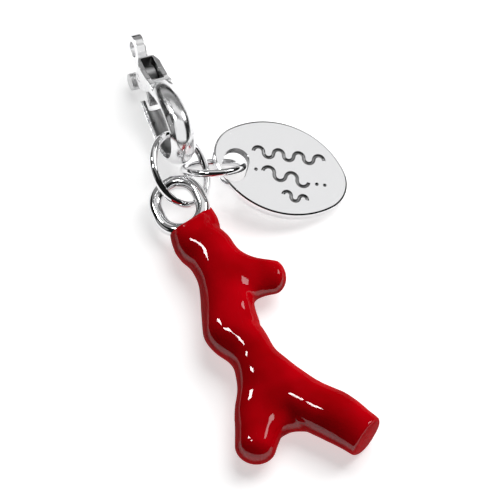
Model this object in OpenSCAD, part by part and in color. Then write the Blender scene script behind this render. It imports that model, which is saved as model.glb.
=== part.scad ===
// Coral charm: an enamelled coral branch on a cast loop, two jump rings,
// an oval tag and a lobster clasp, lying on a flat surface.
// Millimetres, +Z up. The clasp's eye points to +Y and the branch to -Y.

/* [Layout] */
// Distance the whole charm is moved along X so that its box is centred
shift_x = -0.885; // [-3:0.005:3]
// Distance the whole charm is moved along Y so that its box is centred
shift_y = 0.215; // [-3:0.005:3]

/* [Coral branch] */
// Girth of the branch against its measured girth
coral_girth = 1; // [0.95:0.01:1.03]
// Radius of the hollow that the loop sits in at the branch's top
coral_top_r = 5.75; // [5.5:0.05:6]
// Gap left between the enamel and the metal buried in it
seat_gap = 0.04; // [0.03:0.01:0.06]

/* [Cast loop] */
// Width over the loop's two straight sides
bail_od = 5.95; // [5.8:0.05:6.1]
// Length of the straight sides between the loop's two bends
bail_straight = 0.95; // [0.8:0.05:1.1]
// Diameter of the loop's metal
bail_wire = 1.45; // [1.4:0.05:1.5]
// Height of the loop's centre line above the surface
bail_z = 2.2; // [2.15:0.05:2.25]
// Roll of the loop about its own length, its right side raised by the large ring
bail_roll = 11; // [10:0.5:13]

/* [Jump rings] */
// Outer diameter of the large ring
ring_large_od = 8.2; // [8.1:0.05:8.25]
// Wire of the large ring
ring_large_wire = 0.8; // [0.7:0.05:0.85]
// Outer diameter of the small ring
ring_small_od = 6.7; // [6.5:0.05:6.8]
// Wire of the small ring
ring_small_wire = 0.75; // [0.65:0.05:0.8]

/* [Tag] */
// Length of the oval tag
tag_l = 14.0; // [13.8:0.1:14.6]
// Width of the oval tag
tag_w = 10.1; // [9.8:0.1:10.4]
// Thickness of the tag
tag_t = 1; // [0.8:0.05:1.1]
// Slope of the tag, its hole end lifted by the small ring
tag_slope = 14; // [13:0.5:15]

/* [Clasp] */
// Width of the claw across the clasp
claw_w = 2.7; // [2.6:0.05:2.8]
// Thickness of the claw's wall
claw_t = 1; // [0.95:0.05:1.05]
// Radius of the claw's domed outer side
dome_r = 1.5; // [1.45:0.05:1.7]
// Radius of the hollow along the hook's inner side
groove_r = 1.1; // [1:0.05:1.15]
// Width of the head's fork
head_w = 2.4; // [2.3:0.05:2.5]
// Width of the slot that the lever swings in
slot_w = 1.3; // [1.2:0.05:1.35]
// Outer diameter of the eye
eye_od = 3.1; // [3:0.05:3.3]
// Diameter of the eye's hole
eye_hole = 1.6; // [1.5:0.05:1.7]
// Thickness of the eye
eye_t = 1; // [0.9:0.05:1.1]
// Diameter of the hinge pin
pin_d = 0.7; // [0.6:0.05:0.75]
// Thickness of the lever's gate
gate_t = 0.75; // [0.65:0.05:0.8]
// Width of the lever between the cheeks
lever_w = 1.1; // [1:0.05:1.15]

/* [Hidden] */
$fn = 64;

silver = "silver";
enamel = "crimson";

// Height that sets the branch's smoothed underside on the surface
rest_z = 0.012;
// Sides of a branch's section and rings between two rows of its table
sides = 24;
steps = 3;

// Rows of a branch: x, y, lift of its underside, half width, half height
STEM = [
    [-4.78, 5.20, 1.20, 2.45, 1.00],
    [-4.65, 3.60, 0.70, 2.62, 1.45],
    [-4.92, 1.80, 0.15, 2.50, 2.05],
    [-4.28, -0.30, 0.00, 2.53, 2.30],
    [-4.15, -2.60, 0.00, 2.60, 2.40],
    [-4.50, -5.00, 0.00, 2.65, 2.40],
    [-5.22, -7.30, 0.00, 2.75, 2.45],
    [-5.62, -9.60, 0.00, 2.85, 2.45],
    [-5.15, -10.90, 0.00, 2.45, 2.40],
    [-4.80, -12.45, 0.00, 2.25, 2.35],
    [-4.60, -13.60, 0.15, 2.20, 2.15]];
RIGHT_BRANCH = [
    [-4.80, -12.60, 0.05, 2.10, 2.20],
    [-4.55, -14.20, 0.00, 2.40, 2.40],
    [-3.80, -15.90, 0.00, 2.55, 2.40],
    [-2.25, -18.90, 0.10, 2.55, 2.30],
    [-0.10, -21.60, 0.20, 2.55, 2.25],
    [2.08, -25.13, 0.30, 2.27, 2.10]];
LEFT_BRANCH = [
    [-4.70, -13.80, 0.10, 2.45, 2.10],
    [-5.20, -16.20, 0.05, 2.60, 2.20],
    [-6.35, -18.60, 0.00, 2.65, 2.10],
    [-8.20, -21.82, 0.00, 2.07, 2.00]];
FORK_WEB = [
    [-6.20, -19.90, 0.10, 1.90, 1.80],
    [-4.20, -19.70, 0.10, 1.65, 1.70],
    [-2.20, -20.20, 0.20, 1.90, 1.80]];
KNOB = [
    [-4.60, -3.00, 0.30, 2.90, 2.00],
    [-3.00, -3.75, 0.40, 3.15, 2.05],
    [-1.60, -4.32, 0.55, 2.52, 1.85],
    [-0.50, -4.65, 0.70, 2.05, 1.65],
    [0.35, -4.95, 0.80, 1.75, 1.50]];

// Centre of the loop's free bend, and of the hollow at the branch's top
BAIL_AT = [-5.15, 6.65, bail_z];
CORAL_TOP_AT = [-6.20, 9.20];
// Centres of the rings, and the slope and turn of each ring's plane
RING_LARGE_AT = [-3.714, 9.469, 3.294];
RING_LARGE_TURN = [0, 44.42, -28.62];
RING_SMALL_AT = [-0.422, 8.809, 2.607];
RING_SMALL_TURN = [0, 48.54, 72.45];
// Centre of the tag's upper face, and its turn about Z
TAG_AT = [5.84, 6.22, 2.67];
tag_turn = -37;
// Hole of the tag: its centre, its width and its length across the tag
TAG_HOLE_AT = [-4.46, -1.46];
tag_hole_w = 2.6;
tag_hole_l = 3.8;
tag_end_r = 3.4;

// Clasp, in its own upright plane: Y along the clasp and Z up. It stands over
// CLASP_AT on the surface, leans a little to +X and is turned about Z there.
CLASP_AT = [-2.959, 22.567, 0];
CLASP_TURN = [0, 7.18, -1.09];
claw_end_at = [14.0, 3.7];
claw_end_r = 3.7;
claw_top_r = 8;
claw_top_sweep = 33;
claw_tip_r = 28;
claw_tip_sweep = 11.5;
hinge_at = [20.9, 3.45];
eye_at = [24.35, 3.4];
hub_r = 0.95;
gate_tip_at = [18.9, 1.5];
// Thumb lug of the lever: its place, radius, width and the radius of its domed sides
lug_at = [21.9, 1.35];
lug_r = 0.9;
lug_w = 3;
lug_dome_r = 1.7;
// Outline of the head from the side, and from above with X across and Y along
HEAD_SIDE = [
    [17.15, 5.3], [17.55, 5.8], [18.3, 6.0], [19.3, 5.45], [20.6, 5.1], [22.3, 4.8],
    [22.9, 4.3], [22.9, 2.6], [22.1, 2.35], [20.9, 2.3], [19.9, 2.6], [19.0, 3.6], [18.2, 4.75]];
HEAD_TOP = [[-1.2, 17], [1.2, 17], [1.2, 21.4], [0.5, 23], [-0.5, 23], [-1.2, 21.4]];

module placed() translate([shift_x, shift_y, rest_z]) children();

// Smooth curve through the rows of a table, with u from 0 to 1 between b and c
function between(a, b, c, d, u) =
    0.5 * (2 * b + (c - a) * u + (2 * a - 5 * b + 4 * c - d) * u * u + (3 * b - a - 3 * c + d) * u * u * u);
function row(rows, i) = rows[min(max(i, 0), len(rows) - 1)];
function smoothed(rows, n) = concat(
    [for (i = [0 : len(rows) - 2], k = [0 : n - 1])
        between(row(rows, i - 1), rows[i], rows[i + 1], row(rows, i + 2), k / n)],
    [rows[len(rows) - 1]]);
function unit(v) = v / norm(v);
function centre(r) = [r[0], r[1], r[2] + r[4] * coral_girth];
function heading(rows, i) = unit(centre(row(rows, i + 1)) - centre(row(rows, i - 1)));
function ring(at, dir, half_w, half_h) =
    let(side = unit(cross(dir, [0, 0, 1])), up = cross(side, dir))
    [for (k = [0 : sides - 1]) let(a = 360 * k / sides) at + side * half_w * cos(a) + up * half_h * sin(a)];
function rings(rows) = [for (i = [0 : len(rows) - 1])
    ring(centre(rows[i]), heading(rows, i), rows[i][3] * coral_girth, rows[i][4] * coral_girth)];
// Rings of a domed end: bulge is its length against the half width
function dome(rows, bulge, n) =
    let(last = len(rows) - 1, r = rows[last], dir = heading(rows, last))
    [for (k = [1 : n]) let(a = 84 * k / n)
        ring(centre(r) + dir * bulge * r[3] * sin(a), dir, r[3] * cos(a), r[4] * cos(a))];

module skin(loops) {
    n = len(loops);
    polyhedron(
        points = [for (l = loops) for (p = l) p],
        faces = concat(
            [[for (k = [sides - 1 : -1 : 0]) k]],
            [for (i = [0 : n - 2], k = [0 : sides - 1]) let(j = (k + 1) % sides)
                [i * sides + k, i * sides + j, (i + 1) * sides + j, (i + 1) * sides + k]],
            [[for (k = [0 : sides - 1]) (n - 1) * sides + k]]));
}

module branch(rows, bulge) {
    fine = smoothed(rows, steps);
    skin(concat(rings(fine), dome(fine, bulge, 6)));
}

module torus(od, wire) rotate_extrude() translate([(od - wire) / 2, 0]) circle(d = wire, $fn = 32);

// Upright cylinder that hollows the branch's top towards the loop
module above_coral() translate([CORAL_TOP_AT[0], CORAL_TOP_AT[1], -1]) cylinder(r = coral_top_r, h = 8, $fn = 128);

module in_bail() translate(BAIL_AT) rotate([0, -bail_roll, 0]) children();

// One of the loop's two bends, its metal made thicker by grow on every side
module bail_bend(grow) rotate_extrude(angle = 180) translate([(bail_od - bail_wire) / 2, 0])
    circle(d = bail_wire + 2 * grow, $fn = 32);
module buried_bend(grow) translate([0, -bail_straight, 0]) rotate([0, 0, 180]) bail_bend(grow);

module coral_branch() color(enamel) placed() difference() {
    union() {
        branch(STEM, 0.3);
        branch(RIGHT_BRANCH, 0.14);
        branch(LEFT_BRANCH, 0.85);
        branch(KNOB, 0.8);
        branch(FORK_WEB, 0.3);
    }
    above_coral();
    in_bail() buried_bend(seat_gap);
}

module bail_loop() color(silver) placed() in_bail() {
    bail_bend(0);
    buried_bend(0);
    for (s = [-1, 1]) translate([s * (bail_od - bail_wire) / 2, 0, 0]) rotate([90, 0, 0])
        cylinder(d = bail_wire, h = bail_straight, $fn = 32);
}

module ring_large() color(silver) placed()
    translate(RING_LARGE_AT) rotate(RING_LARGE_TURN) torus(ring_large_od, ring_large_wire);

module ring_small() color(silver) placed()
    translate(RING_SMALL_AT) rotate(RING_SMALL_TURN) torus(ring_small_od, ring_small_wire);

// Oval from two long arcs and two end arcs of radius r, meeting smoothly
module oval(l, w, r) {
    reach = l / 2 - r;
    side = (reach * reach + w * w / 4 - r * r) / (w - 2 * r);
    turn = atan2(side - w / 2, reach);
    join = reach + r * cos(turn);
    intersection() {
        translate([0, w / 2 - side]) circle(r = side, $fn = 128);
        translate([0, side - w / 2]) circle(r = side, $fn = 128);
        square([2 * join, w], center = true);
    }
    for (s = [-1, 1]) translate([s * reach, 0]) circle(r = r);
}

module tag() color(silver) placed()
    translate(TAG_AT) rotate([0, tag_slope, tag_turn]) translate([0, 0, -tag_t]) linear_extrude(tag_t) difference() {
        oval(tag_l, tag_w, tag_end_r);
        translate(TAG_HOLE_AT) {
            square([tag_hole_w, tag_hole_l - tag_hole_w], center = true);
            for (s = [-1, 1]) translate([0, s * (tag_hole_l - tag_hole_w) / 2]) circle(d = tag_hole_w, $fn = 32);
        }
    }

// Turns a drawing's x and y into the clasp's Y and Z, and its height into X
module in_clasp() placed() translate(CLASP_AT) rotate(CLASP_TURN) translate([0, -CLASP_AT[1], 0])
    rotate([90, 0, 90]) children();

// Domed section of the claw's wall, its outer side at x = 0, hollowed on the inside by groove
module claw_section(groove) difference() {
    intersection() {
        translate([-claw_t, -claw_w / 2]) square([claw_t, claw_w]);
        translate([-dome_r, 0]) circle(r = dome_r);
    }
    if (groove > 0) translate([-claw_t - groove_r + groove, 0]) circle(r = groove_r);
}

module claw_arc(at, r, from, sweep, groove) translate(at) rotate([0, 0, from]) rotate_extrude(angle = sweep)
    translate([r, 0]) claw_section(groove);

module bar(from, to, t, w) {
    run = to - from;
    translate([from[0], from[1], -w / 2]) rotate([0, 0, atan2(run[1], run[0])])
        translate([0, -t / 2, 0]) cube([norm(run), t, w]);
}

module disc(at, r, w) translate([at[0], at[1], -w / 2]) cylinder(r = r, h = w);

// Forked head with its lever slot and pin bore
module clasp_head() difference() {
    intersection() {
        translate([0, 0, -head_w / 2]) linear_extrude(head_w) polygon(HEAD_SIDE);
        rotate([-90, -90, 0]) translate([0, 0, -5]) linear_extrude(20) polygon(HEAD_TOP);
    }
    translate([18.9, 0, -slot_w / 2]) cube([3.3, 9, slot_w]);
    disc(hinge_at, pin_d / 2 + 0.02, 4);
}

// Tip of the hook, hollowed inside and slotted where the gate's end rests
module claw_tip() difference() {
    claw_arc(claw_end_at + [0, claw_tip_r - claw_end_r], claw_tip_r, 270, claw_tip_sweep, 0.45);
    translate([17.6, 0.7, -slot_w / 2]) cube([4, 2, slot_w]);
}

// Closed end of the hook and the spine over it
module claw_bend() {
    claw_arc(claw_end_at, claw_end_r, 90, 180, 0);
    claw_arc(claw_end_at + [0, claw_end_r - claw_top_r], claw_top_r, 90 - claw_top_sweep, claw_top_sweep, 0);
}

module clasp_body() color(silver) in_clasp() {
    claw_bend();
    claw_tip();
    clasp_head();
}

// Eye, cut flat where it meets the head
module clasp_eye() color(silver) in_clasp() difference() {
    translate(eye_at) rotate_extrude() translate([(eye_od + eye_hole) / 4, 0])
        square([(eye_od - eye_hole) / 2, eye_t], center = true);
    translate([20, 0, -2]) cube([2.94, 9, 4]);
}

module clasp_lever() color(silver) in_clasp() difference() {
    union() {
        disc(hinge_at, hub_r, lever_w);
        bar(hinge_at, gate_tip_at, gate_t, lever_w);
        disc(gate_tip_at, gate_t / 2, lever_w);
        intersection() {
            disc(lug_at, lug_r, lug_w);
            translate([lug_at[0], lug_at[1], 0]) sphere(r = lug_dome_r);
        }
        bar(hinge_at, lug_at, 1.1, lever_w);
    }
    disc(hinge_at, pin_d / 2 + 0.05, 4);
}

module lever_pin() color(silver) in_clasp() disc(hinge_at, pin_d / 2, head_w);

coral_branch();
bail_loop();
ring_large();
ring_small();
tag();
clasp_body();
clasp_eye();
clasp_lever();
lever_pin();
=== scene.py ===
import math

import bmesh
import bpy
from mathutils import Matrix, Vector


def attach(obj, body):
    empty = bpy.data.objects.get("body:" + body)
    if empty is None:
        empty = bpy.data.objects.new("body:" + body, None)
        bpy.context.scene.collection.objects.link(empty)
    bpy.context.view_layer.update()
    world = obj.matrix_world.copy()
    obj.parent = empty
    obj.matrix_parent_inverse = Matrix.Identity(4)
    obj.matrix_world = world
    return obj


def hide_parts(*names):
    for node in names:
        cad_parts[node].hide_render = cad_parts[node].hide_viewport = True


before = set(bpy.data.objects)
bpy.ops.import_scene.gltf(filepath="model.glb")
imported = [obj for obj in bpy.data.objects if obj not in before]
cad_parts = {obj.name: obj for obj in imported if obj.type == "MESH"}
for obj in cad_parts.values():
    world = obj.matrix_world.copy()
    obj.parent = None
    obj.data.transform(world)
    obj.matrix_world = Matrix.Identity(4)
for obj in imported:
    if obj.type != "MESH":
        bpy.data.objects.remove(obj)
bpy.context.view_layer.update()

# Every piece is shaped in millimetres on a drawing of its own, and then set in
# its place in the charm. The charm's drawing stands at DRAWING_AT in the frame.
MM = 0.001
DRAWING_AT = Vector((-0.885, 0.215, 0.012))
ACROSS, UP = Vector((1, 0, 0)), Vector((0, 0, 1))

# The coral's tubes: name, bulge of the domed end in half widths, and rows of
# x, y, lift of the underside, half width, half height
CORAL_TUBES = [
    ("stem", 0.3, [
        (-4.78, 5.20, 1.20, 2.45, 1.00),
        (-4.65, 3.60, 0.70, 2.62, 1.45),
        (-4.92, 1.80, 0.15, 2.50, 2.05),
        (-4.28, -0.30, 0.00, 2.53, 2.30),
        (-4.15, -2.60, 0.00, 2.60, 2.40),
        (-4.50, -5.00, 0.00, 2.65, 2.40),
        (-5.22, -7.30, 0.00, 2.75, 2.45),
        (-5.62, -9.60, 0.00, 2.85, 2.45),
        (-5.15, -10.90, 0.00, 2.45, 2.40),
        (-4.80, -12.45, 0.00, 2.25, 2.35),
        (-4.60, -13.60, 0.15, 2.20, 2.15)]),
    ("right_branch", 0.14, [
        (-4.80, -12.60, 0.05, 2.10, 2.20),
        (-4.55, -14.20, 0.00, 2.40, 2.40),
        (-3.80, -15.90, 0.00, 2.55, 2.40),
        (-2.25, -18.90, 0.10, 2.55, 2.30),
        (-0.10, -21.60, 0.20, 2.55, 2.25),
        (2.08, -25.13, 0.30, 2.27, 2.10)]),
    ("left_branch", 0.85, [
        (-4.70, -13.80, 0.10, 2.45, 2.10),
        (-5.20, -16.20, 0.05, 2.60, 2.20),
        (-6.35, -18.60, 0.00, 2.65, 2.10),
        (-8.20, -21.82, 0.00, 2.07, 2.00)]),
    ("fork_web", 0.3, [
        (-6.20, -19.90, 0.10, 1.90, 1.80),
        (-4.20, -19.70, 0.10, 1.65, 1.70),
        (-2.20, -20.20, 0.20, 1.90, 1.80)]),
    ("palm", 0.4, [
        (-4.75, -13.20, 0.10, 2.30, 2.30),
        (-4.70, -15.50, 0.05, 2.80, 2.35),
        (-4.70, -17.40, 0.05, 3.00, 2.25),
        (-4.50, -18.90, 0.10, 2.40, 2.05)]),
    ("knob", 0.8, [
        (-4.60, -3.00, 0.30, 2.90, 2.00),
        (-3.00, -3.75, 0.40, 3.15, 2.05),
        (-1.60, -4.32, 0.55, 2.52, 1.85),
        (-0.50, -4.65, 0.70, 2.05, 1.65),
        (0.35, -4.95, 0.80, 1.75, 1.50)])]
TUBE_SIDES, STEPS_PER_ROW = 32, 3
DOME_ROUNDS, DOME_SWEEP = 7, 86
# Upright hollow at the coral's top, which the enamel's upper edge follows
HOLLOW_AT, HOLLOW_R, HOLLOW_HALF_H = Vector((-6.20, 9.20, 3.5)), 5.75, 4.5
CAST_GRAIN, ENAMEL_GRAIN, ENAMEL_ROUNDS = 0.16, 0.13, 10
# Places where the enamel has flowed together: middle and reach
MELTS = [((-4.6, -16.0, 2.5), 5.0), ((-2.8, -3.4, 2.5), 4.2), ((-6.6, -11.8, 2.0), 3.4)]
MELT_ROUNDS, MELT_STRENGTH = 320, 1.6
SWELL_SIZE, SWELL_HEIGHT, SWELL_MIDDLE = 3.2, 0.25, 0.38

# Cast loop: middle of its free bend, roll, and sizes of its round bar
LOOP_AT, LOOP_ROLL = Vector((-5.15, 6.65, 2.2)), math.radians(-11)
LOOP_BEND_R, LOOP_BAR_R, LOOP_STRAIGHT = 2.25, 0.725, 0.95
LOOP_SIDES, LOOP_STEPS = 40, 48

# Jump rings: centre, tilt and turn of the ring's plane, radius of the wire's
# middle line, radius of the wire, and where round the ring its cut is
RINGS = {
    "large_jump_ring": ((-3.714, 9.469, 3.294), 44.42, -28.62, 3.7, 0.4, 118),
    "small_jump_ring": ((-0.422, 8.809, 2.607), 48.54, 72.45, 2.975, 0.375, 200)}
RING_CUT, RING_END_EASE = math.radians(0.9), 0.05
WIRE_SIDES, RING_STEPS = 32, 160

# Oval tag, drawn flat with its face at height 0
TAG_AT = Vector((5.84, 6.22, 2.67))
TAG_SLOPE, TAG_TURN = math.radians(14), math.radians(-37)
TAG_PLACE = (Matrix.Translation(TAG_AT) @ Matrix.Rotation(TAG_TURN, 4, "Z")
             @ Matrix.Rotation(TAG_SLOPE, 4, "Y"))
TAG_L, TAG_W, TAG_T, TAG_END_R = 14.0, 10.1, 1.0, 3.4
TAG_CHAMFER_W, TAG_CHAMFER_T, TAG_EASE = 0.17, 0.08, 0.08
TAG_HOLE_AT, TAG_HOLE_W, TAG_HOLE_L = Vector((-4.46, -1.46, 0)), 2.6, 3.8
ENGRAVING_W, ENGRAVING_LIFT = 0.38, 0.017
# Engraved waves: start, turn, radius of each half turn, how many half turns
WAVES = [
    ((-3.15, 0.80), 13, 0.52, 7),
    ((-1.65, -1.00), 6, 0.60, 4),
    ((1.00, -2.75), 6, 0.42, 3)]
DOTS = [(-2.35, -1.10), (3.95, -0.35), (4.75, -0.15)]
# Half sizes of an oval that holds the hole and the engraving but not the tag's edge
INNER_HALF_L, INNER_HALF_W = 6.3, 4.5

# Clasp, drawn upright with Y along it and Z up
CLASP_AT = Vector((-2.959, 22.567, 0))
CLASP_LEAN, CLASP_TURN = math.radians(7.18), math.radians(-1.09)
CLASP_PLACE = (Matrix.Translation(CLASP_AT) @ Matrix.Rotation(CLASP_TURN, 4, "Z")
               @ Matrix.Rotation(CLASP_LEAN, 4, "Y") @ Matrix.Translation((0, -CLASP_AT.y, 0)))
CLASP_GRAIN, TRIGGER_GRAIN = 0.055, 0.045
# Claw: arcs of its closed end, spine and hook, and its domed and dented section
CLAW_END, CLAW_END_R = Vector((0, 14.0, 3.7)), 3.7
CLAW_TOP_R, CLAW_TOP_SWEEP = 8.0, 33
CLAW_TIP_R, CLAW_TIP_SWEEP = 28.0, 11.5
CLAW_W, CLAW_T, CLAW_DOME_R, CLAW_SQUARENESS = 2.7, 1.0, 1.5, 3.2
CLAW_DENT, CLAW_DENT_REACH = 0.42, 0.78
CLAW_MOUTH = ((-0.72, 18.3, 0.35), (0.72, 19.45, 3))
# Head's outlines, from the side as along and up, and from above as across and along
HEAD_SIDE = [
    (17.15, 5.3), (17.55, 5.85), (18.3, 6.05), (19.3, 5.5), (20.6, 5.15), (22.3, 4.85), (22.9, 4.3),
    (22.9, 2.6), (22.1, 2.35), (20.9, 2.3), (19.9, 2.6), (19.0, 3.6), (18.2, 4.75)]
HEAD_TOP = [(-1.22, 17), (1.22, 17), (1.22, 21.4), (0.55, 23), (-0.55, 23), (-1.22, 21.4)]
HEAD_HALF_W = 1.2
HEAD_SLOT = ((-0.65, 18.9, 0), (0.65, 22.2, 9))
# Boxes round the walls of the head's slot and the dent of the hook, darkened as painted shade
SLOT_WALLS = ((-0.70, 18.85, 2.2), (0.70, 22.25, 9))
DENT_WALLS = ((-0.98, 13.0, 0), (0.98, 19.6, 1.6))
# Turns a side drawing upright, so that its first number runs along the clasp
FROM_SIDE = Matrix(((0, 0, 1, 0), (1, 0, 0, 0), (0, 1, 0, 0), (0, 0, 0, 1)))
EYE, EYE_R, EYE_HALF_T, EYE_HOLE_R = Vector((0, 24.35, 3.4)), 1.55, 0.5, 0.8
# Lever and its pin
HINGE, HINGE_BORE_R = Vector((0, 20.9, 3.45)), 0.37
HUB_R, LEVER_HALF_W, LEVER_BORE_R = 0.95, 0.55, 0.4
GATE_TIP, GATE_HALF_T = Vector((0, 18.9, 1.5)), 0.375
GATE_CHANNEL = ((-0.22, 1.1, 0.1), (0.22, 5, 1))
# Box round the walls of the gate's channel, darkened as painted shade
CHANNEL_WALLS = ((-0.25, 1.0, 0.04), (0.25, 5, 0.33))
LUG, LUG_R, LUG_HALF_W, LUG_BALL_R = Vector((0, 21.9, 1.35)), 0.9, 1.5, 1.7
RIVET_R, RIVET_HALF_L, RIVET_EASE = 0.35, 1.2, 0.12

# How far a cutter reaches past what it cuts
PAST = 3

# View of the photograph: SIGHT runs from the charm to the camera
SIGHT = Vector((-0.18731, -0.46359, 0.86603))
RIGHT = Vector((0.92718, -0.37461, 0.0))
UPWARD = SIGHT.cross(RIGHT)
CAMERA_AWAY, VIEW_WIDTH, SENSOR_WIDTH = 0.6, 0.05, 36


# Hand tools

def take(piece, mode="OBJECT"):
    """Selects one piece alone and opens it in the wanted mode."""
    if bpy.context.object and bpy.context.object.mode != "OBJECT":
        bpy.ops.object.mode_set(mode="OBJECT")
    bpy.ops.object.select_all(action="DESELECT")
    piece.select_set(True)
    bpy.context.view_layer.objects.active = piece
    if mode != "OBJECT":
        bpy.ops.object.mode_set(mode=mode)
        bpy.ops.mesh.select_mode(type="VERT")
    return piece


def newest(name):
    """Names the piece that was just added."""
    piece = bpy.context.object
    piece.name = piece.data.name = name
    return piece


def fix_place(piece):
    """Makes the piece's place, turn and scale part of its mesh."""
    take(piece)
    bpy.ops.object.transform_apply(location=True, rotation=True, scale=True)
    return piece


def pick(wanted, what="VERT"):
    """In edit mode, selects the corners, edges or faces that pass the test, and nothing else."""
    bpy.ops.mesh.select_mode(type=what)
    bpy.ops.mesh.select_all(action="DESELECT")
    mesh = bmesh.from_edit_mesh(bpy.context.object.data)
    for part in {"VERT": mesh.verts, "EDGE": mesh.edges, "FACE": mesh.faces}[what]:
        part.select = bool(wanted(part))
    mesh.select_flush_mode()
    bmesh.update_edit_mesh(bpy.context.object.data)


def inside(at, box):
    """Whether a point is inside a box, given by its low and its high corner."""
    return all(low < value < high for low, value, high in zip(box[0], at, box[1]))


def is_end_cap(face):
    """The many-sided face that closes a round bar."""
    return len(face.verts) > 8


def finish_with(piece, kind, **settings):
    """Adds one modifier to the piece and applies it."""
    take(piece)
    bpy.ops.object.modifier_add(type=kind)
    tool = piece.modifiers[-1]
    for key, value in settings.items():
        setattr(tool, key, value)
    bpy.ops.object.modifier_apply(modifier=tool.name)
    return piece


def cut_away(piece, cutter, operation="DIFFERENCE"):
    """Cuts or trims the piece with another, which is used up."""
    finish_with(piece, "BOOLEAN", object=cutter, operation=operation, solver="EXACT")
    bpy.data.objects.remove(cutter)
    return piece


def join(name, *pieces):
    """Joins several pieces into one mesh."""
    take(pieces[0])
    for other in pieces[1:]:
        other.select_set(True)
    bpy.ops.object.join()
    return newest(name)


def turn_outwards(piece):
    """Merges doubles and points every face outwards."""
    take(piece, "EDIT")
    bpy.ops.mesh.select_all(action="SELECT")
    bpy.ops.mesh.remove_doubles(threshold=0.001)
    bpy.ops.mesh.normals_make_consistent(inside=False)
    bpy.ops.object.mode_set(mode="OBJECT")
    return piece


def cast_smooth(piece, grain, rounds):
    """Runs joined shapes into one skin, as casting does, and softens its edges."""
    finish_with(piece, "REMESH", mode="VOXEL", voxel_size=grain, use_smooth_shade=True)
    if rounds:
        finish_with(piece, "SMOOTH", factor=0.5, iterations=rounds)
    return piece


def settle(piece, place):
    """Sets a finished drawing in its place in the charm, in metres, its object at the origin."""
    piece.matrix_world = Matrix.Scale(MM, 4) @ Matrix.Translation(DRAWING_AT) @ place
    fix_place(piece)
    bpy.ops.object.shade_smooth_by_angle(angle=math.radians(40))
    return piece


def block(name, low, high):
    """A box between two corners, as a start or a cutter."""
    low, high = Vector(low), Vector(high)
    bpy.ops.mesh.primitive_cube_add(size=1, location=(low + high) / 2, scale=high - low)
    return fix_place(newest(name))


def rod(name, middle, way, half_length, radius, sides):
    """A round rod with its middle at a point, as a start or a cutter."""
    start, end = middle - way * half_length, middle + way * half_length
    bpy.ops.mesh.primitive_cylinder_add(
        vertices=sides, radius=radius, depth=(end - start).length, location=(start + end) / 2,
        rotation=(end - start).to_track_quat("Z", "Y").to_euler())
    return fix_place(newest(name))


def wire_end(name, radius, sides, out):
    """The closed round that a bar or wire is spun from, at its distance from the spin's middle."""
    bpy.ops.mesh.primitive_circle_add(
        vertices=sides, radius=radius, location=(out, 0, 0), rotation=(math.pi / 2, 0, 0),
        fill_type="NGON")
    piece = fix_place(newest(name))
    take(piece, "EDIT")
    bpy.ops.mesh.select_all(action="SELECT")
    return piece


# Coral

def between(a, b, c, d, u):
    """A smooth curve's value from b to c, with a before them and d after them."""
    return 0.5 * (2 * b + (c - a) * u + (2 * a - 5 * b + 4 * c - d) * u * u
                  + (3 * b - a - 3 * c + d) * u ** 3)


def smoothed(rows, steps):
    """A smooth run of rows through the measured ones."""
    def row(i):
        return rows[min(max(i, 0), len(rows) - 1)]
    fine = [tuple(between(*column, k / steps)
                  for column in zip(row(i - 1), row(i), row(i + 1), row(i + 2)))
            for i in range(len(rows) - 1) for k in range(steps)]
    return fine + [rows[-1]]


def coral_tube(name, bulge, rows):
    """One branch: rounds set along its line, bridged, and closed by a domed end."""
    rows = smoothed(rows, STEPS_PER_ROW)
    middles = [Vector((x, y, lift + half_h)) for x, y, lift, _, half_h in rows]
    rounds = []
    for i, row in enumerate(rows):
        way = (middles[min(i + 1, len(rows) - 1)] - middles[max(i - 1, 0)]).normalized()
        rounds.append((middles[i], way, row[3], row[4]))
    at, way, half_w, half_h = rounds[-1]
    for k in range(1, DOME_ROUNDS + 1):
        a = math.radians(DOME_SWEEP * k / DOME_ROUNDS)
        rounds.append((at + way * bulge * half_w * math.sin(a), way,
                       half_w * math.cos(a), half_h * math.cos(a)))
    for i, (at, way, half_w, half_h) in enumerate(rounds):
        across = way.cross(UP).normalized()
        lay = Matrix((across, across.cross(way), way)).transposed()
        bpy.ops.mesh.primitive_circle_add(
            vertices=TUBE_SIDES, radius=1, location=at, rotation=lay.to_euler())
        if i == 0:
            tube = fix_place(newest(name))
            take(tube, "EDIT")
            bpy.ops.mesh.select_all(action="SELECT")
        mesh = bmesh.from_edit_mesh(tube.data)
        mesh.verts.ensure_lookup_table()
        for corner in mesh.verts[-TUBE_SIDES:]:
            flat = lay.transposed() @ (corner.co - at)
            corner.co = at + lay @ Vector((flat.x * half_w, flat.y * half_h, 0))
        if i:
            for corner in mesh.verts[-2 * TUBE_SIDES:]:
                corner.select = True
            mesh.select_flush(True)
            bpy.ops.mesh.bridge_edge_loops()
    pick(lambda edge: edge.is_boundary, "EDGE")
    bpy.ops.mesh.edge_face_add()
    bpy.ops.object.mode_set(mode="OBJECT")
    return turn_outwards(tube)


def melt(piece, places):
    """Lets the surface flow together round each place, as thick enamel does in a fork."""
    take(piece)
    group = piece.vertex_groups.new(name="melt")
    for corner in piece.data.vertices:
        weight = max(1 - ((corner.co - Vector(at)).length / reach) ** 2 for at, reach in places)
        if weight > 0:
            group.add([corner.index], min(1.0, MELT_STRENGTH * weight), "REPLACE")
    finish_with(piece, "SMOOTH", factor=0.5, iterations=MELT_ROUNDS, vertex_group="melt")
    piece.vertex_groups.clear()


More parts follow.
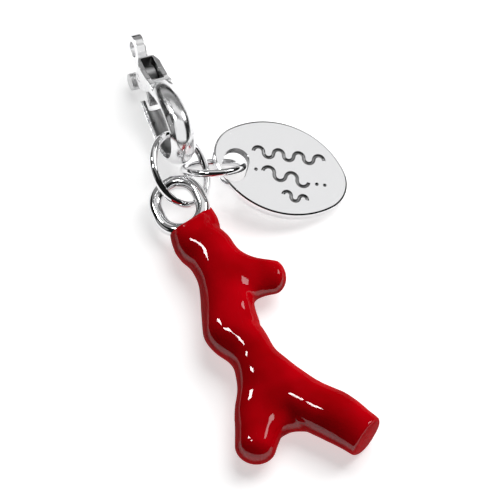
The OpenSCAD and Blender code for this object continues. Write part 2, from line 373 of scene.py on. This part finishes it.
def coral_body():
    """The enamelled branch, run together at its forks and hollowed for the loop at its top."""
    body = join("coral_body", *[coral_tube(*tube) for tube in CORAL_TUBES])
    cast_smooth(body, CAST_GRAIN, 0)
    cut_away(body, rod("hollow", HOLLOW_AT, UP, HOLLOW_HALF_H, HOLLOW_R, 128))
    cast_smooth(body, ENAMEL_GRAIN, ENAMEL_ROUNDS)
    melt(body, MELTS)
    swell = bpy.data.textures.new("swell", type="CLOUDS")
    swell.noise_scale, swell.noise_depth = SWELL_SIZE, 0
    finish_with(body, "DISPLACE", texture=swell, strength=SWELL_HEIGHT, mid_level=SWELL_MIDDLE,
                texture_coords="LOCAL")
    return settle(body, Matrix.Identity(4))


# Loop and rings

def cast_loop():
    """The loop's round bar, spun round its free bend, run straight, and spun round the other."""
    loop = wire_end("cast_loop", LOOP_BAR_R, LOOP_SIDES, LOOP_BEND_R)
    for middle_y, run in [(0, -LOOP_STRAIGHT), (-LOOP_STRAIGHT, LOOP_STRAIGHT)]:
        bpy.ops.mesh.spin(steps=LOOP_STEPS, angle=-math.pi, center=(0, middle_y, 0), axis=(0, 0, 1))
        bpy.ops.mesh.extrude_region_move(TRANSFORM_OT_translate={"value": (0, run, 0)})
    bpy.ops.object.mode_set(mode="OBJECT")
    turn_outwards(loop)
    take(loop, "EDIT")
    pick(is_end_cap, "FACE")
    bpy.ops.mesh.delete(type="FACE")
    bpy.ops.object.mode_set(mode="OBJECT")
    turn_outwards(loop)
    return settle(loop, Matrix.Translation(LOOP_AT) @ Matrix.Rotation(LOOP_ROLL, 4, "Y"))


def jump_ring(name, at, tilt, turn, radius, wire, cut_at):
    """A round of wire with its closed cut, the two ends eased."""
    ring = wire_end(name, wire, WIRE_SIDES, radius)
    bpy.ops.mesh.spin(
        steps=RING_STEPS, angle=2 * math.pi - RING_CUT, center=(0, 0, 0), axis=(0, 0, 1))
    bpy.ops.object.mode_set(mode="OBJECT")
    turn_outwards(ring)
    take(ring, "EDIT")
    pick(is_end_cap, "FACE")
    bpy.ops.mesh.region_to_loop()
    bpy.ops.mesh.bevel(offset=RING_END_EASE, segments=3, affect="EDGES")
    bpy.ops.object.mode_set(mode="OBJECT")
    return settle(ring, Matrix.Translation(at) @ Matrix.Rotation(math.radians(turn), 4, "Z")
                  @ Matrix.Rotation(math.radians(tilt), 4, "Y")
                  @ Matrix.Rotation(math.radians(cut_at), 4, "Z"))


# Tag

def oval_blank(name, top, bottom):
    """The tag's oval between two heights: a corner spun through two end arcs and two long arcs."""
    reach = TAG_L / 2 - TAG_END_R
    side_r = (reach ** 2 + TAG_W ** 2 / 4 - TAG_END_R ** 2) / (TAG_W - 2 * TAG_END_R)
    turn = math.atan2(side_r - TAG_W / 2, reach)
    side_y = side_r - TAG_W / 2
    bpy.ops.mesh.primitive_plane_add(size=0.01)
    blank = newest(name)
    take(blank, "EDIT")
    bpy.ops.mesh.select_all(action="SELECT")
    bpy.ops.mesh.merge(type="CENTER")
    bpy.ops.transform.translate(
        value=(reach + TAG_END_R * math.cos(turn), -TAG_END_R * math.sin(turn), top))
    end_sweep, side_sweep = 2 * turn, math.pi - 2 * turn
    for x, y, sweep in [
            (reach, 0, end_sweep), (0, -side_y, side_sweep),
            (-reach, 0, end_sweep), (0, side_y, side_sweep)]:
        bpy.ops.mesh.spin(steps=40, angle=-sweep, center=(x, y, top), axis=(0, 0, 1))
    bpy.ops.mesh.select_all(action="SELECT")
    bpy.ops.mesh.remove_doubles(threshold=0.005)
    bpy.ops.mesh.edge_face_add()
    bpy.ops.mesh.extrude_region_move(TRANSFORM_OT_translate={"value": (0, 0, bottom - top)})
    bpy.ops.object.mode_set(mode="OBJECT")
    return turn_outwards(blank)


def hole_cutter():
    """The tag's long hole as a cutter: a rod with its two halves drawn apart."""
    cutter = rod("hole_cutter", TAG_HOLE_AT, UP, PAST, TAG_HOLE_W / 2, 48)
    take(cutter, "EDIT")
    for side in (-1, 1):
        pick(lambda corner: (corner.co.y - TAG_HOLE_AT.y) * side > 0.01)
        bpy.ops.transform.translate(value=(0, side * (TAG_HOLE_L - TAG_HOLE_W) / 2, 0))
    bpy.ops.object.mode_set(mode="OBJECT")
    return cutter


def engraved_wave(start, turn, radius, count):
    """A round-nosed graver's track as a cutter, swept along half turns that swing to and fro."""
    track = wire_end("engraved_wave", ENGRAVING_W / 2, 12, 0)
    for i in range(count):
        bpy.ops.mesh.spin(steps=16, angle=math.pi * (-1) ** i,
                          center=((2 * i + 1) * radius, 0, 0), axis=(0, 0, 1))
    bpy.ops.object.mode_set(mode="OBJECT")
    track.matrix_world = (Matrix.Translation((*start, ENGRAVING_LIFT))
                          @ Matrix.Rotation(math.radians(turn), 4, "Z"))
    return turn_outwards(fix_place(track))


def engraved_dot(x, y):
    """A round punch's mark as a cutter."""
    bpy.ops.mesh.primitive_uv_sphere_add(
        segments=24, ring_count=12, radius=ENGRAVING_W / 2, location=(x, y, ENGRAVING_LIFT))
    return newest("engraved_dot")


def oval_tag():
    """The polished oval plate with eased edges, its long hole, and fine engraved waves and dots."""
    tag = oval_blank("oval_tag", -TAG_CHAMFER_T, -TAG_T)
    take(tag, "EDIT")
    pick(lambda face: face.normal.z > 0.999, "FACE")
    bpy.ops.mesh.inset(thickness=TAG_CHAMFER_W, depth=TAG_CHAMFER_T)
    bpy.ops.object.mode_set(mode="OBJECT")
    cut_away(tag, hole_cutter())
    finish_with(tag, "BEVEL", width=TAG_EASE, segments=3, limit_method="ANGLE",
                angle_limit=math.radians(50))
    for wave in WAVES:
        cut_away(tag, engraved_wave(*wave))
    for dot in DOTS:
        cut_away(tag, engraved_dot(*dot))
    # the face and the back stay flat in their shading
    take(tag, "EDIT")
    pick(lambda face: abs(face.normal.z) > 0.999, "FACE")
    bpy.ops.mesh.region_to_loop()
    bpy.ops.mesh.mark_sharp()
    bpy.ops.object.mode_set(mode="OBJECT")
    return settle(tag, TAG_PLACE)


def in_tag_hollow(at, normal):
    """The walls of the tag's hole below its eased edge, and the engraved tracks."""
    past_middle = max(abs(at.y - TAG_HOLE_AT.y) - (TAG_HOLE_L - TAG_HOLE_W) / 2, 0)
    in_hole = math.hypot(at.x - TAG_HOLE_AT.x, past_middle) < TAG_HOLE_W / 2 + 0.15
    top = -TAG_EASE if in_hole else -0.02
    within = (at.x / INNER_HALF_L) ** 2 + (at.y / INNER_HALF_W) ** 2 < 1
    return within and 0.1 - TAG_T < at.z < top


# Clasp

def claw_sweep():
    """The claw: a dented D section spun from the hook's tip round the closed end to the spine."""
    claw = wire_end("claw", 1, 40, 0)
    # the section is drawn under the closed end's middle, with its domed side down
    mesh = bmesh.from_edit_mesh(claw.data)
    for corner in mesh.verts:
        a = math.atan2(corner.co.z, corner.co.x)
        x, z = math.cos(a), math.sin(a)
        square = (abs(x) ** CLAW_SQUARENESS + abs(z) ** CLAW_SQUARENESS) ** (-1 / CLAW_SQUARENESS)
        x, z = x * square, z * square
        low = CLAW_DOME_R - math.sqrt(max(CLAW_DOME_R ** 2 - (x * CLAW_W / 2) ** 2, 0))
        high = CLAW_T - CLAW_DENT * max(0.0, 1 - (x / CLAW_DENT_REACH) ** 2)
        corner.co = (x * CLAW_W / 2, CLAW_END.y, low + (high - low) * (z + 1) / 2)
    bmesh.update_edit_mesh(claw.data)
    bpy.ops.mesh.select_all(action="SELECT")
    tip_middle = CLAW_END + UP * (CLAW_TIP_R - CLAW_END_R)
    top_middle = CLAW_END + UP * (CLAW_END_R - CLAW_TOP_R)
    bpy.ops.mesh.spin(
        steps=20, angle=math.radians(-CLAW_TIP_SWEEP), center=tip_middle, axis=(1, 0, 0))
    pick(lambda face: is_end_cap(face) and face.calc_center_median().y < CLAW_END.y + 0.01, "FACE")
    bpy.ops.mesh.spin(steps=64, angle=math.radians(180), center=CLAW_END, axis=(1, 0, 0))
    bpy.ops.mesh.spin(
        steps=28, angle=math.radians(CLAW_TOP_SWEEP), center=top_middle, axis=(1, 0, 0))
    bpy.ops.object.mode_set(mode="OBJECT")
    return turn_outwards(claw)


def plate(name, outline, low, high, lay):
    """A flat plate of the given outline between two heights, laid on the clasp by a matrix."""
    bpy.ops.mesh.primitive_circle_add(vertices=len(outline), radius=1, fill_type="NGON")
    piece = newest(name)
    take(piece, "EDIT")
    mesh = bmesh.from_edit_mesh(piece.data)
    for corner, (x, y) in zip(mesh.verts, outline):
        corner.co = (x, y, low)
    bmesh.update_edit_mesh(piece.data)
    bpy.ops.mesh.select_all(action="SELECT")
    bpy.ops.mesh.extrude_region_move(TRANSFORM_OT_translate={"value": (0, 0, high - low)})
    bpy.ops.object.mode_set(mode="OBJECT")
    piece.matrix_world = lay
    return turn_outwards(fix_place(piece))


def lobster_clasp():
    """The clasp's casting: claw, forked head with its lever slot and pin bore, and eye."""
    claw = claw_sweep()
    cut_away(claw, block("mouth", *CLAW_MOUTH))
    head = plate("head", HEAD_SIDE, -HEAD_HALF_W, HEAD_HALF_W, FROM_SIDE)
    cut_away(head, plate("taper", HEAD_TOP, -5, 15, Matrix.Identity(4)), "INTERSECT")
    cut_away(head, block("slot", *HEAD_SLOT))
    cut_away(head, rod("bore", HINGE, ACROSS, PAST, HINGE_BORE_R, 48))
    eye = rod("eye", EYE, ACROSS, EYE_HALF_T, EYE_R, 64)
    cut_away(eye, rod("eye_hole", EYE, ACROSS, PAST, EYE_HOLE_R, 64))
    clasp = join("lobster_clasp", claw, head, eye)
    cast_smooth(clasp, CLASP_GRAIN, 5)
    return settle(clasp, CLASP_PLACE)


def in_clasp_hollow(at, normal):
    """The walls of the slot in the clasp's head, and the dent down the inner side of the hook."""
    if inside(at, SLOT_WALLS):
        return max(abs(normal.x), abs(normal.y)) > 0.6
    return inside(at, DENT_WALLS) and normal.z > 0.3


def towards(end):
    """The turn about the hinge from along the clasp to a point."""
    run = (end - HINGE).normalized()
    return Matrix.Rotation(math.atan2(run.z, run.y), 4, "X")


def lever_arm(name, end, half_t):
    """A flat bar of the lever from the hinge towards a point, drawn along Y until it is turned."""
    return block(name, (-LEVER_HALF_W, 0, -half_t), (LEVER_HALF_W, (end - HINGE).length, half_t))


def clasp_trigger():
    """The lever: hub on the pin, thumb lug outside the head, and a channelled gate to the hook."""
    hub = rod("hub", HINGE, ACROSS, LEVER_HALF_W, HUB_R, 48)
    gate = lever_arm("gate", GATE_TIP, GATE_HALF_T)
    cut_away(gate, block("channel", *GATE_CHANNEL))
    tip = rod("tip", GATE_TIP, ACROSS, LEVER_HALF_W, GATE_HALF_T, 32)
    lug = rod("lug", LUG, ACROSS, LUG_HALF_W, LUG_R, 48)
    bpy.ops.mesh.primitive_uv_sphere_add(
        segments=48, ring_count=24, radius=LUG_BALL_R, location=LUG)
    cut_away(lug, fix_place(newest("ball")), "INTERSECT")
    link = lever_arm("link", LUG, LEVER_HALF_W)
    for arm, end in ((gate, GATE_TIP), (link, LUG)):
        arm.matrix_world = Matrix.Translation(HINGE) @ towards(end)
        fix_place(arm)
    for part in (hub, gate, link):
        cut_away(part, rod("bore", HINGE, ACROSS, PAST, LEVER_BORE_R, 48))
    trigger = join("clasp_trigger", hub, gate, tip, lug, link)
    cast_smooth(trigger, TRIGGER_GRAIN, 4)
    return settle(trigger, CLASP_PLACE)


def in_gate_channel(at, normal):
    """The channel down the lever's gate."""
    return inside(towards(GATE_TIP).to_3x3().transposed() @ (at - HINGE), CHANNEL_WALLS)


def hinge_rivet():
    """The pin, its two ends peened round."""
    rivet = rod("hinge_rivet", HINGE, ACROSS, RIVET_HALF_L, RIVET_R, 48)
    take(rivet, "EDIT")
    pick(lambda face: abs(face.normal.x) > 0.9, "FACE")
    bpy.ops.mesh.region_to_loop()
    bpy.ops.mesh.bevel(offset=RIVET_EASE, segments=4, affect="EDGES")
    bpy.ops.object.mode_set(mode="OBJECT")
    return settle(rivet, CLASP_PLACE)


# Finishes

def add_node(nodes, kind, **values):
    """Adds a shader node with some of its sockets set, their names written with underscores."""
    node = nodes.new(kind)
    for socket, value in values.items():
        node.inputs[socket.replace("_", " ")].default_value = value
    return node


def new_finish(name, colour, metallic, roughness):
    """A finish with its shader, and the object's own coordinates for its patterns."""
    finish = bpy.data.materials.new(name)
    finish.use_nodes = True
    nodes, links = finish.node_tree.nodes, finish.node_tree.links
    shader = nodes["Principled BSDF"]
    shader.inputs["Base Color"].default_value = (*colour, 1)
    shader.inputs["Metallic"].default_value = metallic
    shader.inputs["Roughness"].default_value = roughness
    return finish, nodes, links, shader, nodes.new("ShaderNodeTexCoord").outputs["Object"]


def mottle(nodes, links, place, scale, detail):
    """A cloudy pattern on the given coordinates."""
    cloud = add_node(nodes, "ShaderNodeTexNoise", Scale=scale, Detail=detail)
    links.new(place, cloud.inputs["Vector"])
    return cloud.outputs["Fac"]


def ranged(nodes, links, value, source, result):
    """Maps a value from one range onto another."""
    ramp = add_node(nodes, "ShaderNodeMapRange", From_Min=source[0], From_Max=source[1],
                    To_Min=result[0], To_Max=result[1])
    links.new(value, ramp.inputs["Value"])
    return ramp.outputs["Result"]


def blended(nodes, links, value, first, second):
    """Blends two colours by a pattern."""
    ramp = nodes.new("ShaderNodeValToRGB")
    for stop, position, colour in zip(ramp.color_ramp.elements, (0.32, 0.68), (first, second)):
        stop.position, stop.color = position, (*colour, 1)
    links.new(value, ramp.inputs["Fac"])
    return ramp.outputs["Color"]


def bumps(nodes, links, shader, *layers):
    """Stacks bump layers, each a pattern with its depth in metres, on the shader's normal."""
    below = None
    for value, depth in layers:
        bump = add_node(nodes, "ShaderNodeBump", Strength=1.0, Distance=depth)
        links.new(value, bump.inputs["Height"])
        if below:
            links.new(below, bump.inputs["Normal"])
        below = bump.outputs["Normal"]
    links.new(below, shader.inputs["Normal"])


def red_enamel():
    """Thick glossy enamel: a deep red, a little clouded and uneven, under a clear hard skin."""
    finish, nodes, links, shader, place = new_finish("red_enamel", (0.42, 0.0, 0.004), 0.0, 0.4)
    shader.inputs["Coat Roughness"].default_value = 0.025
    shader.inputs["Specular IOR Level"].default_value = 0.0
    slant = add_node(nodes, "ShaderNodeLayerWeight", Blend=0.5)
    gloss = ranged(nodes, links, slant.outputs["Facing"], (0.32, 0.46), (1.0, 0.08))
    links.new(gloss, shader.inputs["Coat Weight"])
    red = blended(nodes, links, mottle(nodes, links, place, 260, 2),
                  (0.33, 0.0, 0.002), (0.47, 0.0, 0.004))
    links.new(red, shader.inputs["Base Color"])
    bumps(nodes, links, shader, (mottle(nodes, links, place, 420, 1), 0.00003),
          (mottle(nodes, links, place, 3000, 1), 0.0000015))
    return finish


def polished_metal(name, tone, roughness, waviness, grain_turn=0.0):
    """Bright plated metal: faint polishing lines, soft smears in its gloss, and slight waviness."""
    finish, nodes, links, shader, place = new_finish(
        name, (tone, tone, tone * 1.01), 1.0, roughness)
    smears = ranged(nodes, links, mottle(nodes, links, place, 700, 3),
                    (0.3, 0.7), (roughness * 0.6, roughness * 1.6))
    links.new(smears, shader.inputs["Roughness"])
    grain = add_node(nodes, "ShaderNodeMapping", Scale=(1, 0.03, 1), Rotation=(0, 0, grain_turn))
    links.new(place, grain.inputs["Vector"])
    lines = mottle(nodes, links, grain.outputs["Vector"], 9000, 2)
    bumps(nodes, links, shader, (mottle(nodes, links, place, 500, 1), waviness),
          (lines, 0.0000004))
    return finish


def paint_hollow_shade(piece, finish, place, is_hollow):
    """Gives a second, dark and rougher finish to the hollows, as painted shade.

    is_hollow tests a face by its middle and its normal on the piece's drawing.
    """
    piece.data.materials.append(finish)
    to_drawing = (Matrix.Scale(MM, 4) @ Matrix.Translation(DRAWING_AT) @ place).inverted()
    turn = place.to_3x3().inverted()
    take(piece, "EDIT")
    pick(lambda face: is_hollow(to_drawing @ face.calc_center_median(), turn @ face.normal), "FACE")
    piece.active_material_index = 1
    bpy.ops.object.material_slot_assign()
    bpy.ops.object.mode_set(mode="OBJECT")


# Build

coral = coral_body()
loop = cast_loop()
large_ring, small_ring = [jump_ring(name, *row) for name, row in RINGS.items()]
tag = oval_tag()
clasp = lobster_clasp()
rivet = hinge_rivet()
trigger = clasp_trigger()

enamel = red_enamel()
loop_metal = polished_metal("loop_metal", 0.74, 0.06, 0.00001)
ring_metal = polished_metal("ring_metal", 0.76, 0.05, 0.000004)
tag_metal = polished_metal("tag_metal", 0.86, 0.10, 0.000001, TAG_TURN)
clasp_metal = polished_metal("clasp_metal", 0.84, 0.19, 0.000008)
# Painted shade: the lever's silver is toned darker than the clasp's, for the shade on its lug
shaded_trigger_metal = polished_metal("shaded_trigger_metal", 0.55, 0.30, 0.000006)

for piece, node, slot, finish, body in [
        (coral, "coral_branch", "enamel", enamel, "charm"),
        (loop, "bail_loop", "loop_metal", loop_metal, "charm"),
        (large_ring, "ring_large", "ring_metal", ring_metal, "charm"),
        (small_ring, "ring_small", "ring_metal", ring_metal, "charm"),
        (tag, "tag", "tag_metal", tag_metal, "charm"),
        (clasp, "clasp_body", "clasp_metal", clasp_metal, "charm"),
        (rivet, "lever_pin", "clasp_metal", clasp_metal, "charm"),
        (trigger, "clasp_lever", "clasp_metal", shaded_trigger_metal, "lever")]:
    piece.data.materials.append(finish)
    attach(piece, body)
    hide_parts(node)
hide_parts("clasp_eye")

# Painted shade: a dark silver on the walls of the tag's hole and engraving, the head's slot, the
# hook's dent and the gate's channel
painted_shade_metal = polished_metal("painted_shade_metal", 0.22, 0.30, 0.000002)
paint_hollow_shade(tag, painted_shade_metal, TAG_PLACE, in_tag_hollow)
paint_hollow_shade(clasp, painted_shade_metal, CLASP_PLACE, in_clasp_hollow)
paint_hollow_shade(trigger, painted_shade_metal, CLASP_PLACE, in_gate_channel)


# Stage

MIDDLE = Vector((DRAWING_AT.x, DRAWING_AT.y, 0)) * MM

bpy.ops.mesh.primitive_plane_add(size=3, location=(0, 0, 0))
floor = newest("floor")
paper = bpy.data.materials.new("paper")
paper.use_nodes = True
paper_shader = paper.node_tree.nodes["Principled BSDF"]
paper_shader.inputs["Base Color"].default_value = (0.7, 0.7, 0.7, 1)
paper_shader.inputs["Roughness"].default_value = 0.8
paper_shader.inputs["Emission Color"].default_value = (1, 1, 1, 1)
paper_shader.inputs["Emission Strength"].default_value = 0.58
floor.data.materials.append(paper)

bpy.ops.object.camera_add(location=MIDDLE + SIGHT * CAMERA_AWAY,
                          rotation=Matrix((RIGHT, UPWARD, SIGHT)).transposed().to_euler())
camera = bpy.context.object
camera.name = "camera"
camera.data.sensor_width = SENSOR_WIDTH
camera.data.lens = SENSOR_WIDTH * CAMERA_AWAY / VIEW_WIDTH
camera.data.clip_start = 0.01
bpy.context.scene.camera = camera


def softbox(name, way, wide, high, glow, away=0.6):
    """An area light of the given brightness, turned to the charm from one direction."""
    way = Vector(way).normalized()
    bpy.ops.object.light_add(type="AREA", location=MIDDLE + way * away,
                             rotation=way.to_track_quat("Z", "Y").to_euler())
    lamp = bpy.context.object
    lamp.name = name
    lamp.data.shape = "RECTANGLE"
    lamp.data.size, lamp.data.size_y = wide, high
    lamp.data.energy = glow * math.pi * wide * high
    return lamp


def seen(right, up):
    """The direction that a face would mirror to the camera, across and up the picture."""
    return RIGHT * right + UPWARD * up + SIGHT * math.sqrt(max(0.0, 1 - right ** 2 - up ** 2))


def light_only(name, pieces, lamps):
    """Keeps some lamps to some pieces, as a card held close to them would."""
    lit = bpy.data.collections.new(name)
    for piece in pieces:
        lit.objects.link(piece)
    for lamp in lamps:
        lamp.light_linking.receiver_collection = lit


for strip in [softbox("upper_strip", seen(-0.58, 0.62), 0.06, 0.12, 24),
              softbox("lower_strip", seen(-0.38, 0.44), 0.07, 0.11, 24)]:
    strip.visible_diffuse = False
softbox("window", seen(0.70, 0.62), 0.20, 0.22, 4.6)
ceiling = softbox("ceiling", (0.5, 0.4, 0.8), 0.8, 0.8, 4.9, away=0.9)
ceiling.visible_glossy = False
light_only("metal_pieces", [loop, tag, clasp, rivet, trigger, large_ring, small_ring], [
    softbox("top_card", (0.30, 0.35, 0.88), 0.56, 0.30, 0.68),
    softbox("back_card", (0.10, 0.90, 0.40), 0.80, 0.14, 0.20),
    softbox("left_card", (-0.95, 0.10, 0.35), 0.40, 0.24, 0.35),
    softbox("sky_card", (0.20, 0.45, 0.87), 1.40, 1.00, 0.22)])
light_only("clasp_pieces", [clasp], [softbox("front_card", seen(0.06, -0.20), 1.10, 0.90, 0.95)])

world = bpy.data.worlds.new("studio")
world.use_nodes = True
world.node_tree.nodes["Background"].inputs["Color"].default_value = (0.012, 0.012, 0.012, 1)
bpy.context.scene.world = world
bpy.context.scene.view_settings.view_transform = "Standard"

bpy.ops.object.select_all(action="DESELECT")
